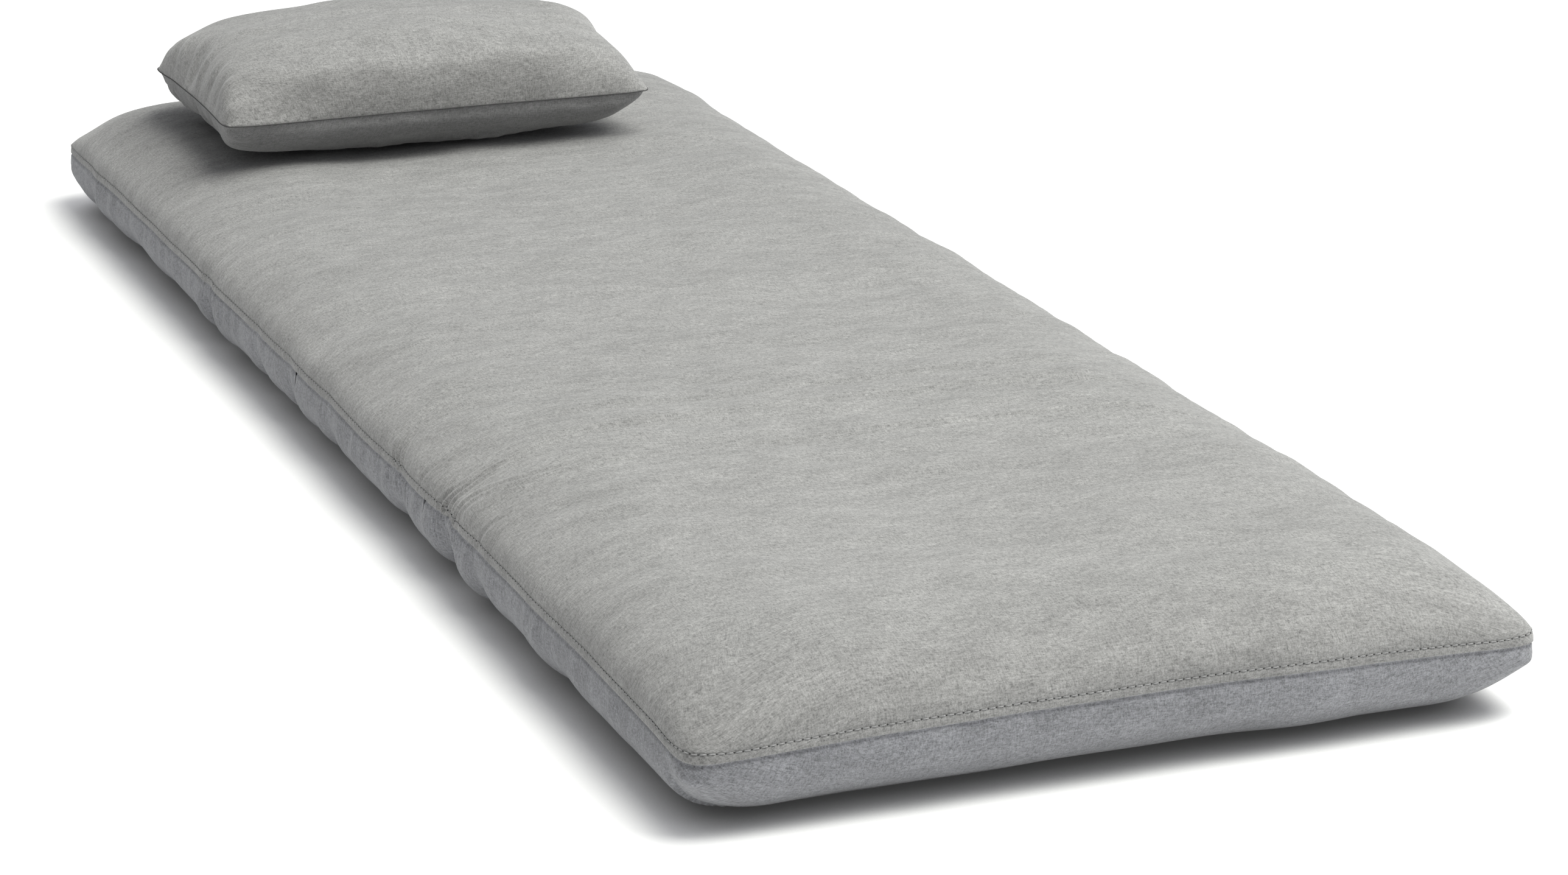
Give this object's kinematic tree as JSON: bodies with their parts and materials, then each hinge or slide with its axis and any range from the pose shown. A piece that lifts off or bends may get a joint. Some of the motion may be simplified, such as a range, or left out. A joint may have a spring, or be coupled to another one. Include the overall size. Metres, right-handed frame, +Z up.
{
  "type": "futon sofa bed",
  "caption": "Long padded folding futon lying flat as a bed, with a tilting back, a foot end that folds over onto the seat, and a loose pillow.",
  "frame": {"origin": "on the floor under the middle of the mattress", "axes": "+Y towards the head end with the pillow, X across the width, +Z up"},
  "size_m": [0.71, 2, 0.2503],
  "materials": {
    "cover_fabric": "matte",
    "foam": "matte",
    "support_cloth": "matte",
    "coated_steel": "satin",
    "zinc_steel": "satin",
    "fibre_filling": "matte",
    "zip_plastic": "matte"
  },
  "bodies": {
    "seat": {"back_hinge_rivet_left": "zinc_steel", "back_hinge_rivet_right": "zinc_steel", "back_hinge_seat_leaf_left": "zinc_steel", "back_hinge_seat_leaf_right": "zinc_steel", "back_pawl_pin_left": "zinc_steel", "back_pawl_pin_right": "zinc_steel", "bridge_hinge_rivet_left": "zinc_steel", "bridge_hinge_rivet_right": "zinc_steel", "bridge_hinge_seat_leaf_left": "zinc_steel", "bridge_hinge_seat_leaf_right": "zinc_steel", "seat_cover_base": "cover_fabric", "seat_cover_top": "cover_fabric", "seat_cross_tube_front": "coated_steel", "seat_cross_tube_rear": "coated_steel", "seat_foam_lower": "foam", "seat_foam_upper": "foam", "seat_side_tube_left": "coated_steel", "seat_side_tube_right": "coated_steel", "seat_support_cloth": "support_cloth"},
    "back": {"back_cover_base": "cover_fabric", "back_cover_top": "cover_fabric", "back_cross_tube": "coated_steel", "back_foam_lower": "foam", "back_foam_upper": "foam", "back_frame_tube": "coated_steel", "back_hinge_ratchet_leaf_left": "zinc_steel", "back_hinge_ratchet_leaf_right": "zinc_steel", "back_support_cloth": "support_cloth", "cover_zip_chain": "zip_plastic"},
    "bridge": {"bridge_cover_base": "cover_fabric", "bridge_cover_top": "cover_fabric", "bridge_foam_lower": "foam", "bridge_foam_upper": "foam", "bridge_hinge_bridge_leaf_left": "zinc_steel", "bridge_hinge_bridge_leaf_right": "zinc_steel", "bridge_side_tube_left": "coated_steel", "bridge_side_tube_right": "coated_steel", "foot_hinge_bridge_leaf_left": "zinc_steel", "foot_hinge_bridge_leaf_right": "zinc_steel", "foot_hinge_rivet_left": "zinc_steel", "foot_hinge_rivet_right": "zinc_steel"},
    "foot": {"foot_cover_base": "cover_fabric", "foot_cover_top": "cover_fabric", "foot_cross_tube": "coated_steel", "foot_foam_lower": "foam", "foot_foam_upper": "foam", "foot_frame_tube": "coated_steel", "foot_hinge_foot_leaf_left": "zinc_steel", "foot_hinge_foot_leaf_right": "zinc_steel", "foot_support_cloth": "support_cloth"},
    "pawl_left": {"back_pawl_left": "zinc_steel"},
    "pawl_right": {"back_pawl_right": "zinc_steel"},
    "pillow": {"pillow_cover_base": "cover_fabric", "pillow_cover_top": "cover_fabric", "pillow_filling": "fibre_filling", "pillow_zip_chain": "zip_plastic"},
    "cover_slider": {"cover_zip_slider": "zinc_steel"},
    "cover_pull": {"cover_zip_pull": "zinc_steel"},
    "pillow_slider": {"pillow_zip_slider": "zinc_steel"},
    "pillow_pull": {"pillow_zip_pull": "zinc_steel"}
  },
  "joints": [
    {"name": "back_recline", "type": "hinge", "parent": "seat", "child": "back", "pos_m": [0, 0.34, 0.066], "axis": [1, 0, 0], "range_deg": [0, 90]},
    {"name": "bridge_fold", "type": "hinge", "parent": "seat", "child": "bridge", "pos_m": [0, -0.255, 0.066], "axis": [1, 0, 0], "range_deg": [-90, 0]},
    {"name": "foot_fold", "type": "hinge", "parent": "bridge", "child": "foot", "pos_m": [0, -0.468, 0.066], "axis": [1, 0, 0], "range_deg": [-90, 0]},
    {"name": "pawl_left_rock", "type": "hinge", "parent": "seat", "child": "pawl_left", "pos_m": [-0.3, 0.32034, 0.05223], "axis": [1, 0, 0], "range_deg": [0, 10.4]},
    {"name": "pawl_right_rock", "type": "hinge", "parent": "seat", "child": "pawl_right", "pos_m": [0.3, 0.32034, 0.05223], "axis": [1, 0, 0], "range_deg": [0, 10.4]},
    {"name": "pillow_lift", "type": "slide", "parent": "back", "child": "pillow", "axis": [0, 0, 1], "range_m": [0, 0.3]},
    {"name": "cover_zip_slide", "type": "slide", "parent": "back", "child": "cover_slider", "axis": [1, 0, 0], "range_m": [0, 0.48]},
    {"name": "cover_pull_swing", "type": "hinge", "parent": "cover_slider", "child": "cover_pull", "pos_m": [-0.24, 0.99917, 0.03775], "axis": [1, 0, 0], "range_deg": [0, 110]},
    {"name": "pillow_zip_slide", "type": "slide", "parent": "pillow", "child": "pillow_slider", "axis": [1, 0, 0], "range_m": [0, 0.24]},
    {"name": "pillow_pull_swing", "type": "hinge", "parent": "pillow_slider", "child": "pillow_pull", "pos_m": [-0.165, 0.8674, 0.16005], "axis": [1, 0, 0], "range_deg": [0, 110]}
  ]
}
